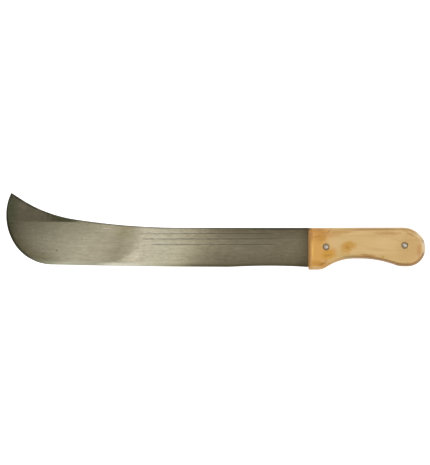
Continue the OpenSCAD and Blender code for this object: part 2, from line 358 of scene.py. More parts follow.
def centre_of(part, to_world):
    """A vertex's place, or the middle of an edge or face, in millimetres."""
    if isinstance(part, bmesh.types.BMVert):
        return to_world @ part.co / MM
    if isinstance(part, bmesh.types.BMEdge):
        return to_world @ ((part.verts[0].co + part.verts[1].co) / 2) / MM
    return to_world @ part.calc_center_median() / MM


def pick(kind, test):
    """Selects the vertices, edges or faces that pass a test of themselves and their place."""
    bpy.ops.mesh.select_mode(type=kind)
    bpy.ops.mesh.select_all(action="DESELECT")
    piece = bpy.context.object
    mesh = bmesh.from_edit_mesh(piece.data)
    mesh.normal_update()
    parts = {"VERT": mesh.verts, "EDGE": mesh.edges, "FACE": mesh.faces}[kind]
    found = [part for part in parts if test(part, centre_of(part, piece.matrix_world))]
    for part in found:
        part.select_set(True)
    bmesh.update_edit_mesh(piece.data)
    return len(found)


def is_top(face, place):
    return face.normal.z > LEVEL and abs(place.z - BLADE_TOP) < NEAR


def cut_across(test, point, direction):
    """Cuts the faces that pass a test along a plane through a point of the outline."""
    if pick("FACE", test):
        bpy.ops.mesh.bisect(plane_co=on_outline(Vector(point), 0) * MM, plane_no=direction)


def give_finish(piece, number):
    """Gives the selected faces one of the piece's materials."""
    piece.active_material_index = number
    bpy.ops.object.material_slot_assign()


def face_out():
    bpy.ops.mesh.select_all(action="SELECT")
    bpy.ops.mesh.normals_make_consistent(inside=False)


def select_only(piece):
    bpy.ops.object.select_all(action="DESELECT")
    piece.select_set(True)
    bpy.context.view_layer.objects.active = piece


def finish_piece(piece, node):
    """Leaves edit mode, applies the modifiers, puts the origin right and joins the frame."""
    face_out()
    bpy.ops.object.mode_set(mode="OBJECT")
    for modifier in list(piece.modifiers):
        bpy.ops.object.modifier_apply(modifier=modifier.name)
    bpy.ops.object.transform_apply(location=True, rotation=True, scale=True)
    bpy.ops.object.shade_smooth_by_angle(angle=SMOOTH_BELOW)
    # Large flat faces keep their own direction, and only the narrow ones are shaded round
    weighted = piece.modifiers.new("flat faces stay flat", "WEIGHTED_NORMAL")
    weighted.keep_sharp = True
    bpy.ops.object.modifier_apply(modifier=weighted.name)
    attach(piece, "root")
    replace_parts(piece, node)


def turned_piece(name, axis, profile, steps=TURN_STEPS):
    """Draws a closed profile of radius and height beside an axis and spins it all round."""
    first = profile[0]
    piece = start_piece(name, (axis.x + first[0], axis.y, first[1]))
    ends_on_axis = first[0] == 0 and profile[-1][0] == 0
    for radius, height in profile[1:] + ([] if ends_on_axis else profile[:1]):
        pull_to(Vector((axis.x + radius, axis.y, height)))
    merge_near()
    bpy.ops.mesh.select_all(action="SELECT")
    bpy.ops.mesh.spin(steps=steps, angle=math.tau, center=axis * MM, axis=UP)
    merge_near()
    bpy.ops.mesh.select_all(action="SELECT")
    bpy.ops.mesh.dissolve_degenerate(threshold=SLIVER)
    face_out()
    return piece


def cut_out(piece, axis, profile):
    """Cuts a turned shape out of a piece, which stays in edit mode."""
    bpy.ops.object.mode_set(mode="OBJECT")
    cutter = turned_piece("cutter", axis, profile)
    bpy.ops.object.mode_set(mode="OBJECT")
    select_only(piece)
    cut = piece.modifiers.new("cut", "BOOLEAN")
    cut.operation = "DIFFERENCE"
    cut.solver = "EXACT"
    cut.object = cutter
    bpy.ops.object.modifier_apply(modifier=cut.name)
    bpy.data.objects.remove(cutter)
    bpy.ops.object.mode_set(mode="EDIT")


def mirrored_copy(piece, name, node):
    """Adds a copy with its own mesh, turned over to the other side of the blade."""
    copy = piece.copy()
    copy.data = piece.data.copy()
    copy.name = name
    copy.data.name = name
    bpy.context.scene.collection.objects.link(copy)
    copy["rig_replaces"] = []
    select_only(copy)
    bpy.ops.object.mode_set(mode="EDIT")
    bpy.ops.mesh.select_all(action="SELECT")
    bpy.ops.transform.resize(value=(1, 1, -1), center_override=UP * BLADE_MIDDLE * MM)
    face_out()
    bpy.ops.object.mode_set(mode="OBJECT")
    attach(copy, "root")
    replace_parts(copy, node)


def lower_groove(depth, far, near):
    """Cuts one groove's lines into the top face and lowers them to its section."""
    middle = START_Y - depth
    half_width = GROOVE_SECTION[-1][0]
    full_from = START_X + far + GROOVE_RUNOUT - NEAR
    full_to = START_X + near - GROOVE_RUNOUT + NEAR

    def in_groove_area(face, place):
        inside = GROOVE_AREA[0] < place.x - START_X < GROOVE_AREA[1]
        return inside and is_top(face, place)

    def in_strip(face, place):
        return is_top(face, place) and abs(place.y - middle) < half_width

    for reach, down in GROOVE_SECTION:
        for side in (-1, 1) if reach else (1,):
            cut_across(in_groove_area, (0, side * reach - depth), (0, 1, 0))
    ends = [(far + share * GROOVE_RUNOUT, share) for share in RUNOUT_SHARES]
    ends += [(near - share * GROOVE_RUNOUT, share) for share in RUNOUT_SHARES]
    for x, share in ends:
        cut_across(in_strip, (x, 0), (1, 0, 0))
    for reach, down in GROOVE_SECTION[:-1]:

        def on_line(vertex, place):
            off_line = abs(abs(place.y - middle) - reach)
            not_lowered = abs(place.z - BLADE_TOP) < NEAR / 10
            return off_line < 2 * NEAR and not_lowered

        pick("VERT", lambda v, p: on_line(v, p) and full_from < p.x < full_to)
        pull((0, 0, -down), new=False)
        for x, share in ends:
            if 0 < share < 1:
                pick("VERT", lambda v, p: on_line(v, p) and abs(p.x - START_X - x) < NEAR)
                pull((0, 0, -down * share), new=False)


def make_blade(flats, bevel, rim):
    """The blade and tang: one half is drawn, bevelled and grooved, and then mirrored."""
    corners, reaches = blade_corners()
    edge_height = BLADE_MIDDLE + EDGE_THICKNESS / 2
    inner = moved_in(corners, reaches)
    piece = start_piece("machete_blade", on_outline(round_start(corners, 0), edge_height))
    for finish in (flats, bevel, rim):
        piece.data.materials.append(finish)
    draw_outline(corners, edge_height)
    bpy.ops.mesh.select_all(action="DESELECT")
    inner_start = on_outline(round_start(inner, 0), BLADE_TOP)
    bpy.ops.mesh.primitive_plane_add(size=MM, location=inner_start * MM)
    bpy.ops.mesh.merge(type="CENTER")
    draw_outline(inner, BLADE_TOP)
    bpy.ops.mesh.bridge_edge_loops()
    pick("EDGE", lambda e, p: abs(p.z - BLADE_TOP) < NEAR and e.is_boundary)
    bpy.ops.mesh.edge_face_add()
    pick("EDGE", lambda e, p: abs(p.z - edge_height) < NEAR and e.is_boundary)
    pull((0, 0, -EDGE_THICKNESS / 2))
    face_out()

    # The bevel has its own finish, and so have the sheared edge and its softened corner
    def is_bevel(face, place):
        return BEVEL_LEAST < face.normal.z < LEVEL and place.z < BLADE_TOP - BEVEL_DROP

    def is_spine_corner(edge, place):
        if abs(place.z - BLADE_TOP) > NEAR or len(edge.link_faces) != 2:
            return False
        tilts = sorted(abs(face.normal.z) for face in edge.link_faces)
        return tilts[0] < SPINE_TILTS[0] and tilts[1] > SPINE_TILTS[1]

    pick("FACE", is_bevel)
    give_finish(piece, 1)
    pick("FACE", lambda f, p: abs(f.normal.z) < UPRIGHT)
    give_finish(piece, 2)
    pick("EDGE", is_spine_corner)
    offset = SPINE_CORNER * MM
    bpy.ops.mesh.bevel(offset=offset, segments=SPINE_CORNER_STEPS, affect="EDGES", material=2)

    for x in GROOVE_AREA:
        cut_across(is_top, (x, 0), (1, 0, 0))
    for depth, far, near in GROOVES:
        lower_groove(depth, far, near)
    bpy.ops.object.mode_set(mode="OBJECT")
    bpy.context.scene.cursor.location = UP * BLADE_MIDDLE * MM
    bpy.ops.object.origin_set(type="ORIGIN_CURSOR")
    mirror = piece.modifiers.new("other side", "MIRROR")
    mirror.use_axis = (False, False, True)
    mirror.merge_threshold = SLIVER
    bpy.ops.object.modifier_apply(modifier=mirror.name)
    bpy.ops.object.mode_set(mode="EDIT")
    # The rivets' holes go all the way through
    low = BLADE_MIDDLE - 3
    high = BLADE_MIDDLE + 3
    for axis in RIVET_AXES:
        cut_out(piece, axis, [(0, low), (HOLE_RADIUS, low), (HOLE_RADIUS, high), (0, high)])
    finish_piece(piece, "blade")


def near_front_corner(place):
    """Whether a place lies on the mitre of one of the scale's front corners."""
    for i in (0, 1):
        inwards = inwards_at(SCALE_CORNERS, i)
        offset = Vector((place.x - START_X, place.y - START_Y)) - corner_at(SCALE_CORNERS, i)
        across = inwards.x * offset.y - inwards.y * offset.x
        if abs(across) < 2 * NEAR and offset.length < 2 * SCALE_ROUND:
            return True
    return False


def make_scales(wood):
    """The wooden scales: an outline raised, rounded over by insets, and recessed."""
    height = scale_low.z / MM
    shoulder = SCALE_TOP - SCALE_ROUND
    piece = start_piece("wood_scale_left", on_outline(round_start(SCALE_CORNERS, 0), height))
    piece.data.materials.append(wood)
    draw_outline(SCALE_CORNERS, height)
    bpy.ops.mesh.edge_face_add()
    pull((0, 0, shoulder - height))
    face_out()
    pick("FACE", lambda f, p: f.normal.z > LEVEL and abs(p.z - shoulder) < NEAR)
    inwards = 0.0
    upwards = 0.0
    for step in range(1, ROUND_STEPS + 1):
        angle = math.pi / 2 * step / ROUND_STEPS
        inwards_to = SCALE_ROUND * (1 - math.cos(angle))
        upwards_to = SCALE_ROUND * math.sin(angle)
        rise = (upwards_to - upwards) * MM
        bpy.ops.mesh.inset(thickness=(inwards_to - inwards) * MM, depth=rise)
        inwards = inwards_to
        upwards = upwards_to

    def is_mitre(edge, place):
        ends = [piece.matrix_world @ vertex.co / MM for vertex in edge.verts]
        upright = abs(ends[0].z - ends[1].z) > NEAR
        return upright and all(near_front_corner(end) for end in ends)

    pick("EDGE", is_mitre)
    bpy.ops.mesh.bevel(offset=FRONT_CORNER * MM, segments=FRONT_CORNER_STEPS, affect="EDGES")
    # A hole for the rivet, and a recess for its washer with a mouth rounded by sanding
    floor_height = washer_low.z / MM
    mouth = [
        (0, height - 1),
        (HOLE_RADIUS, height - 1),
        (HOLE_RADIUS, floor_height),
        (RECESS_RADIUS, floor_height),
        (RECESS_RADIUS, SCALE_TOP - 0.5),
        (RECESS_RADIUS + 0.05, SCALE_TOP - 0.25),
        (RECESS_RADIUS + 0.2, SCALE_TOP - 0.08),
        (RECESS_RADIUS + 0.5, SCALE_TOP + 0.02),
        (RECESS_RADIUS + 0.5, SCALE_TOP + 1),
        (0, SCALE_TOP + 1),
    ]
    for axis in RIVET_AXES:
        cut_out(piece, axis, mouth)
    finish_piece(piece, "scale_left")
    mirrored_copy(piece, "wood_scale_right", "scale_right")


def make_washers(metal):
    """Four washers: one is turned for each rivet's left end and then mirrored."""
    low = washer_low.z / MM
    high = washer_high.z / MM
    profile = [
        (HOLE_RADIUS, low),
        (WASHER_RADIUS - 0.15, low),
        (WASHER_RADIUS, low + 0.15),
        (WASHER_RADIUS, high - 0.3),
        (WASHER_RADIUS - 0.12, high - 0.1),
        (WASHER_RADIUS - 0.4, high),
        (HOLE_RADIUS + 0.1, high),
        (HOLE_RADIUS, high - 0.1),
    ]
    for axis, end in zip(RIVET_AXES, RIVET_ENDS):
        piece = turned_piece(f"washer_{end}_left_steel", axis, profile)
        piece.data.materials.append(metal)
        finish_piece(piece, f"washer_{end}_left")
        mirrored_copy(piece, f"washer_{end}_right_steel", f"washer_{end}_right")


def make_rivets(metal):
    """Two rivets, each turned in one piece, with both its heads hammered."""
    under = washer_high.z / MM
    for axis, end, stretch in zip(RIVET_AXES, RIVET_ENDS, HEAD_STRETCH):
        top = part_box(f"rivet_{end}")[1].z / MM
        head = [
            (0, top),
            (0.7, top - 0.01),
            (1.3, top - 0.04),
            (1.8, top - 0.11),
            (2.15, top - 0.25),
            (2.4, top - 0.48),
            (2.5, top - 0.78),
            (2.42, under),
            (SHANK_RADIUS, under),
        ]
        other = [(radius, 2 * BLADE_MIDDLE - height) for radius, height in reversed(head)]
        piece = turned_piece(f"rivet_{end}_aluminium", axis, head + other, RIVET_STEPS)
        piece.data.materials.append(metal)
        for side in (1, -1):
            pick("VERT", lambda v, p: side * (p.z - BLADE_MIDDLE) > under - BLADE_MIDDLE - NEAR)
            bpy.ops.transform.resize(
                value=(stretch, 1 / stretch, 1),
                orient_matrix=HEAD_TURN,
                orient_type="GLOBAL",
                orient_matrix_type="GLOBAL",
                center_override=axis * MM + UP * BLADE_MIDDLE * MM,
            )
        marks = bpy.data.textures.new(f"hammer marks {end}", "VORONOI")
        marks.noise_scale = HAMMER_MARK_SIZE * MM
        marks.noise_intensity = HAMMER_MARK_CONTRAST
        hammered = piece.modifiers.new("hammered", "DISPLACE")
        hammered.texture = marks
        hammered.texture_coords = "LOCAL"
        hammered.mid_level = 1.0
        hammered.strength = HAMMER_MARK_DEPTH * MM
        finish_piece(piece, f"rivet_{end}")


# Settings that many nodes share
SIZES = {"vector_type": "TEXTURE"}
SMOOTH = {"interpolation_type": "SMOOTHSTEP"}
PLUS = {"operation": "ADD"}
TIMES = {"operation": "MULTIPLY"}
LAID_OVER = {"data_type": "RGBA"}
MULTIPLIED = {"data_type": "RGBA", "blend_type": "MULTIPLY"}
# A reach so long that height makes no difference to a mark
FAR = 1e6
# How strongly the bumps of a bare metal show
METAL_BUMP = 0.3

# Tones along the blade, from 360 mm before the handle at 0 to the handle at 1. Those of the
# ground flat are painted reflections in bands along slanting lines, with painted shade at the
# handle
BLADE_FAR = -360.0
BAND_SLANT = math.radians(16.3)
FLAT_PAINTED_REFLECTIONS = (
    (0.0, "#d0d0d0"), (0.07, "#f4f4f2"), (0.28, "#f8fafa"), (0.33, "#e4e4e2"),
    (0.38, "#bebdb8"), (0.415, "#c4c4c0"), (0.45, "#e0e1e3"), (0.53, "#dee1e1"),
    (0.6, "#ecebe9"), (0.8, "#f5f4f3"), (0.93, "#fefaf5"), (1.0, "#d6cfbf"),
)
# Painted reflection on the cutting edge's bevel: bright along the middle, dark at both ends
EDGE_PAINTED_REFLECTIONS = (
    (0.0, "#29281c"), (0.03, "#312f22"), (0.08, "#504b38"), (0.14, "#a3a187"),
    (0.2, "#d0ceb4"), (0.3, "#c0bea8"), (0.36, "#f6f3de"), (0.42, "#f2eed9"),
    (0.5, "#d0ccb2"), (0.57, "#b0a98d"), (0.62, "#7d7660"), (0.7, "#6c654f"),
    (0.95, "#686049"), (0.97, "#5b5440"), (1.0, "#58513e"),
)
# Painted reflection on the bevel's upper border, whose tones come close to the flat's beside it
BORDER_PAINTED_REFLECTIONS = (
    (0.0, "#2f2e21"), (0.03, "#3a382a"), (0.14, "#8c8870"), (0.24, "#c6bea6"),
    (0.34, "#ada48c"), (0.44, "#dcd4bb"), (0.56, "#cac0a5"), (0.64, "#948a71"),
    (0.72, "#7d745d"), (0.95, "#756c56"), (0.97, "#655d49"), (1.0, "#605845"),
)
# Tones across the blade, from its edge at 0 to its spine at 1, near the heel and the tip
WIDTH_FROM = -45.0
HEEL_TONES = (
    (0.0, "#ded9cc"), (0.4, "#fffcf3"), (0.65, "#fffcf5"), (0.95, "#dedacd"),
    (1.0, "#aba695"),
)
TIP_TONES = (
    (0.0, "#f6f6f6"), (0.25, "#f4f4f2"), (0.5, "#ececea"), (1.0, "#cbcac4"),
)
# For each end: its tones, how high they reach, and between which lines they fade in
BLADE_ENDS = ((HEEL_TONES, 0.0, -165.0, -105.0), (TIP_TONES, 8.0, -215.0, -262.0))
# The round of the belly, and the share of its reach within which the flat keeps its tone
BELLY_MIDDLE = (-299.0, 12.0)
BELLY_REACH = (59.0, 59.0)
BELLY_CORE = 0.55
# Tones of the grit's lines, of the tarnish and of the wood's fibres
GRIT_TONES = ((0.25, "#e9e8e5"), (0.75, "#ffffff"))
FLECK_TONES = ((0.3, "#e5e2dc"), (0.7, "#ffffff"))
FIBRE_TONES = ((0.25, "#f1efec"), (0.75, "#ffffff"))
# How far below the spine the grooves' lips are looked for, and how light their painted
# highlight is at distances above a groove's middle
LIP_SPAN = 24.0
LIP_HIGHLIGHT_TONES = ((0.5, "#000000"), (1.2, "#6e6e6e"), (2.1, "#000000"))
# Colour stops this close are one stop
SAME_STOP = 1e-4

# A mark is full up to this share of its reach, and its rim wanders by the other share
MARK_CORE = 0.3
MARK_WANDER = 0.4
# Marks: centre and reach in millimetres, tilt in degrees, colour and strength.
# The skin of the tip is darkest where it runs out along the spine
SKIN_MARKS = (((-283.0, 10.0), (36.0, 18.0), -10.0, "#66664b", 0.85),)
BLADE_MARKS = (
    # Lighter smudges and darker stains on the skin of the tip
    ((-336.5, 25.5), (8.0, 5.0), -25.0, "#b0a48c", 0.6),
    ((-354.0, 21.0), (15.0, 31.0), 0.0, "#777e62", 0.75),
    ((-350.5, 38.5), (5.0, 8.0), 0.0, "#4c4e3a", 0.6),
    ((-341.0, 34.6), (10.0, 2.6), -32.7, "#4a4836", 0.7),
    ((-325.0, 25.2), (13.0, 2.4), -27.0, "#4a4836", 0.65),
    ((-309.0, 18.2), (11.0, 2.2), -21.5, "#4a4836", 0.6),
    # A lighter patch under the skin, and a painted dark reflection along the spine
    ((-340.0, -2.0), (14.0, 13.0), 0.0, "#b5ae96", 0.22),
    ((-28.0, -1.9), (55.0, 1.3), 0.0, "#4a4535", 0.4),
    ((-250.0, 5.4), (24.0, 1.6), -7.0, "#5a5542", 0.4),
    ((-215.0, 1.9), (24.0, 1.5), -4.6, "#5a5542", 0.4),
    ((-178.0, -0.4), (26.0, 1.4), -2.2, "#5a5542", 0.35),
    # A few stains on the ground flat, and the marks of knocks
    ((-296.5, -26.3), (1.3, 1.3), 0.0, "#5c5342", 0.8),
    ((-238.0, -0.6), (9.0, 0.7), 0.0, "#e4dcc6", 0.6),
    # Painted reflection: patches that make the slanting bands of reflection wider or narrower
    ((-216.0, -4.5), (19.0, 12.0), 32.0, "#9c9272", 0.4),
    ((-213.0, -38.5), (26.0, 9.0), 35.0, "#dad5bd", 0.5),
    ((-121.0, -38.0), (48.0, 19.0), 0.0, "#9b927a", 0.4),
    ((-126.0, -5.0), (26.0, 7.0), 0.0, "#f0ead4", 0.12),
    # Painted shade of the handle on the steel just before it: a faint broad darkening and a
    # narrow brown line at the wood's front
    ((-1.5, -23.0), (9.0, 60.0), 0.0, "#6b5322", 0.15),
    ((-1.0, -23.0), (2.2, 60.0), 0.0, "#ae7438", 0.5),
)
WOOD_FIGURE_AND_PAINTED_LIGHT = (
    # A paler rear half of the front, and a browner butt
    ((28.9, -16.4), (13.0, 8.5), 5.0, "#dcb87f", 0.65),
    ((119.0, -23.0), (24.0, 26.0), 0.0, "#c8a062", 0.65),
    # Streaks and waves of darker heartwood at the front, with painted shade at its top corner
    # and a painted highlight along its round
    ((0.2, -25.0), (1.6, 30.0), 0.0, "#956e22", 0.55),
    # Painted shade at the front's top corner
    ((-0.8, -1.0), (4.4, 3.8), 0.0, "#4a3c1e", 0.9),
    ((10.5, -1.8), (9.0, 3.4), 0.0, "#a08155", 0.5),
    ((2.3, -9.0), (2.4, 12.0), 0.0, "#ae6a00", 0.8),
    ((1.6, -30.0), (1.6, 36.0), 0.0, "#dc9a14", 0.5),
    # A painted highlight along the round of the front, beside the lamp's real one
    ((3.9, -25.0), (1.2, 16.0), 0.0, "#f8cc60", 0.55),
    ((13.6, -11.0), (9.5, 9.0), 20.0, "#c38c33", 0.85),
    ((9.8, -9.8), (9.5, 1.2), 16.0, "#a9701f", 0.6),
    ((11.0, -5.5), (14.0, 5.5), -5.0, "#c48b42", 0.55),
    ((13.5, -5.2), (8.0, 1.8), -10.0, "#bf8740", 0.55),
    ((22.3, -4.5), (5.0, 1.6), 42.0, "#a87638", 0.6),
    ((22.3, -31.1), (13.0, 8.6), 16.0, "#cf972e", 0.95),
    ((20.8, -32.6), (6.5, 1.4), 5.0, "#ab7428", 0.5),
    ((29.1, -25.8), (4.5, 3.0), 0.0, "#d79c60", 0.55),
    ((9.0, -42.0), (13.0, 5.0), 0.0, "#c88c32", 0.85),
    ((14.6, -42.2), (7.0, 2.4), 20.0, "#a4721c", 0.8),
    ((19.5, -38.8), (2.6, 2.3), 0.0, "#c4823e", 0.5),
    ((7.4, -46.6), (10.0, 2.4), 0.0, "#ecd09c", 0.6),
    # A three-cornered blotch with a darker middle
    ((46.4, -20.8), (11.5, 7.0), 0.0, "#c8912e", 0.8),
    ((42.6, -25.3), (8.5, 9.0), 0.0, "#c8912e", 0.65),
    ((45.0, -23.2), (3.6, 3.0), 0.0, "#b27c2c", 0.45),
    # Brown bands under the top edge
    ((72.0, -1.8), (46.0, 1.8), 0.0, "#a88447", 0.4),
    ((37.0, -5.2), (18.0, 2.6), 0.0, "#bf9048", 0.6),
    ((26.5, -8.2), (15.0, 4.0), 5.0, "#bf8c46", 0.5),
    ((91.3, -6.4), (22.0, 3.0), 0.0, "#b8894a", 0.65),
    ((116.8, -6.7), (10.5, 2.4), -33.0, "#b58a4e", 0.6),
    # Marks near the waist and the butt, one a painted greyish shade along the waist's lower
    # round
    # Painted greyish shade along the lower round of the waist
    ((48.8, -33.6), (15.0, 2.2), 0.0, "#b2a46e", 0.7),
    ((67.8, -32.4), (12.0, 2.2), -6.0, "#ae7c38", 0.75),
    ((85.9, -33.8), (3.0, 1.9), -10.0, "#b79630", 0.85),
    ((128.6, -27.0), (4.0, 12.0), 0.0, "#bd8648", 0.6),
    ((108.3, -43.0), (18.0, 4.0), 0.0, "#a47843", 0.5),
)
# A painted pale highlight on the round of the butt, and two dark nicks in it
BUTT_HIGHLIGHT_AND_NICKS = (
    ((135.6, -19.0), (4.5, 16.0), 0.0, "#dccfb6", 0.75),
    ((128.8, -7.0), (4.4, 13.0), 42.0, "#dfcfae", 0.75),
    ((133.6, -15.4), (1.8, 2.8), 0.0, "#7d6f55", 0.7),
    ((133.4, -31.0), (1.8, 2.8), 0.0, "#7d6f55", 0.6),
)


def lip_highlight_stops():
    """Stops of a painted highlight: light just above each groove and black elsewhere, over
    LIP_SPAN.
    """
    stops = [(0.0, "#000000"), (1.0, "#000000")]
    for depth, far, near in GROOVES:
        for off, tone in LIP_HIGHLIGHT_TONES:
            stops.append((1 - (depth - off) / LIP_SPAN, tone))
    return stops


def linear(hex_code):
    """An sRGB hex colour as the linear colour that the nodes need."""
    parts = [int(hex_code[i : i + 2], 16) / 255 for i in (1, 3, 5)]
    return [p / 12.92 if p <= 0.04045 else ((p + 0.055) / 1.055) ** 2.4 for p in parts] + [1.0]


def add(tree, kind, settings=None, stops=(), **sockets):
    """Adds a node with its settings and colour stops, and fills or links the sockets named.

    The kind is the node's type after the word ShaderNode. A socket is named by its
    identifier, with underscores for spaces. A colour is a hex code, and a node stands for
    its own first output.
    """
    node = tree.nodes.new("ShaderNode" + kind)
    for name, value in (settings or {}).items():
        setattr(node, name, value)
    for name, value in sockets.items():
        socket = next(s for s in node.inputs if s.identifier.replace(" ", "_") == name)
        if isinstance(value, bpy.types.Node):
            value = next(output for output in value.outputs if output.enabled)
        if isinstance(value, bpy.types.NodeSocket):
            tree.links.new(value, socket)
        else:
            socket.default_value = linear(value) if isinstance(value, str) else value
    for place, colour in stops:
        near = [e for e in node.color_ramp.elements if abs(e.position - place) < SAME_STOP]
        element = near[0] if near else node.color_ramp.elements.new(place)
        element.color = linear(colour)
    return node


def new_material(name):
    """An empty material and its node tree."""
    material = bpy.data.materials.new(name)
    material.use_nodes = True
    material.node_tree.nodes.clear()
    return material, material.node_tree


def machete_places(tree):
    """Coordinates in millimetres from the place where the spine enters the handle."""
    own = add(tree, "TexCoord").outputs["Object"]
    origin = (START_X * MM, START_Y * MM, BLADE_MIDDLE * MM)
    return add(tree, "Mapping", SIZES, Vector=own, Location=origin, Scale=(MM, MM, MM))


def distances(tree, place):
    """How far a place is along the blade, up it, and out from its middle to either side."""
    parts = add(tree, "SeparateXYZ", Vector=place).outputs
    out = add(tree, "Math", {"operation": "ABSOLUTE"}, Value=parts["Z"])
    return parts["X"], parts["Y"], out


def clouds(tree, place, size, **settings):
    """Soft irregular clouds of a size in millimetres, along, across and through the piece."""
    in_sizes = add(tree, "Mapping", SIZES, Vector=place, Scale=size)
    return add(tree, "TexNoise", Vector=in_sizes, Scale=1.0, **settings)


def blended(tree, colour, other, value, start, end, least=0.0, most=1.0):
    """A colour that passes smoothly into another one as a value goes from start to end."""
    span = {"From_Min": start, "From_Max": end, "To_Min": least, "To_Max": most}
    share = add(tree, "MapRange", SMOOTH, Value=value, **span)
    return add(tree, "Mix", LAID_OVER, Factor_Float=share, A_Color=colour, B_Color=other)


def shaded(tree, colour, pattern, tones, share=1.0):
    """A colour darkened by the tones of a pattern, as far as a share says."""
    tone = add(tree, "ValToRGB", Fac=pattern, stops=tones)
    return add(tree, "Mix", MULTIPLIED, Factor_Float=share, A_Color=colour, B_Color=tone)


def spot(tree, place, centre, reach, tilt, core, ragged=None):
    """A share that is 1 in the core round a centre and fades to 0 at its reach."""
    from_centre = add(
        tree,
        "Mapping",
        SIZES,
        Vector=place,
        Location=(centre[0], centre[1], 0),
        Rotation=(0, 0, math.radians(tilt)),
        Scale=(reach[0], reach[1], FAR),
    )
    away = add(tree, "VectorMath", {"operation": "LENGTH"}, Vector=from_centre)
    if ragged:
        away = add(tree, "Math", PLUS, Value=away, Value_001=ragged)
    return add(tree, "MapRange", SMOOTH, Value=away, From_Min=core, To_Min=1.0, To_Max=0.0)


def with_marks(tree, place, colour, marks):
    """Lays marks of their own colours over a surface's colour, with slightly ragged rims."""
    cloud = clouds(tree, place, (4, 3, 4), Detail=3.0)
    ragged = add(tree, "MapRange", Value=cloud, To_Min=-MARK_WANDER, To_Max=MARK_WANDER)
    for centre, reach, tilt, tone, strength in marks:
        share = spot(tree, place, centre, reach, tilt, MARK_CORE, ragged)
        share = add(tree, "Math", TIMES, Value=share, Value_001=strength)
        colour = add(tree, "Mix", LAID_OVER, Factor_Float=share, A_Color=colour, B_Color=tone)
    return colour


def finish_metal(tree, colour, roughness, relief, depth, **more):
    """Ends a metal's node tree: its shader, with bumps of a depth in millimetres."""
    bump = add(tree, "Bump", Strength=METAL_BUMP, Distance=depth * MM, Height=relief)
    surface = {"Base_Color": colour, "Metallic": 1.0, "Roughness": roughness, "Normal": bump}
    shader = add(tree, "BsdfPrincipled", **surface, **more)
    add(tree, "OutputMaterial", Surface=shader)


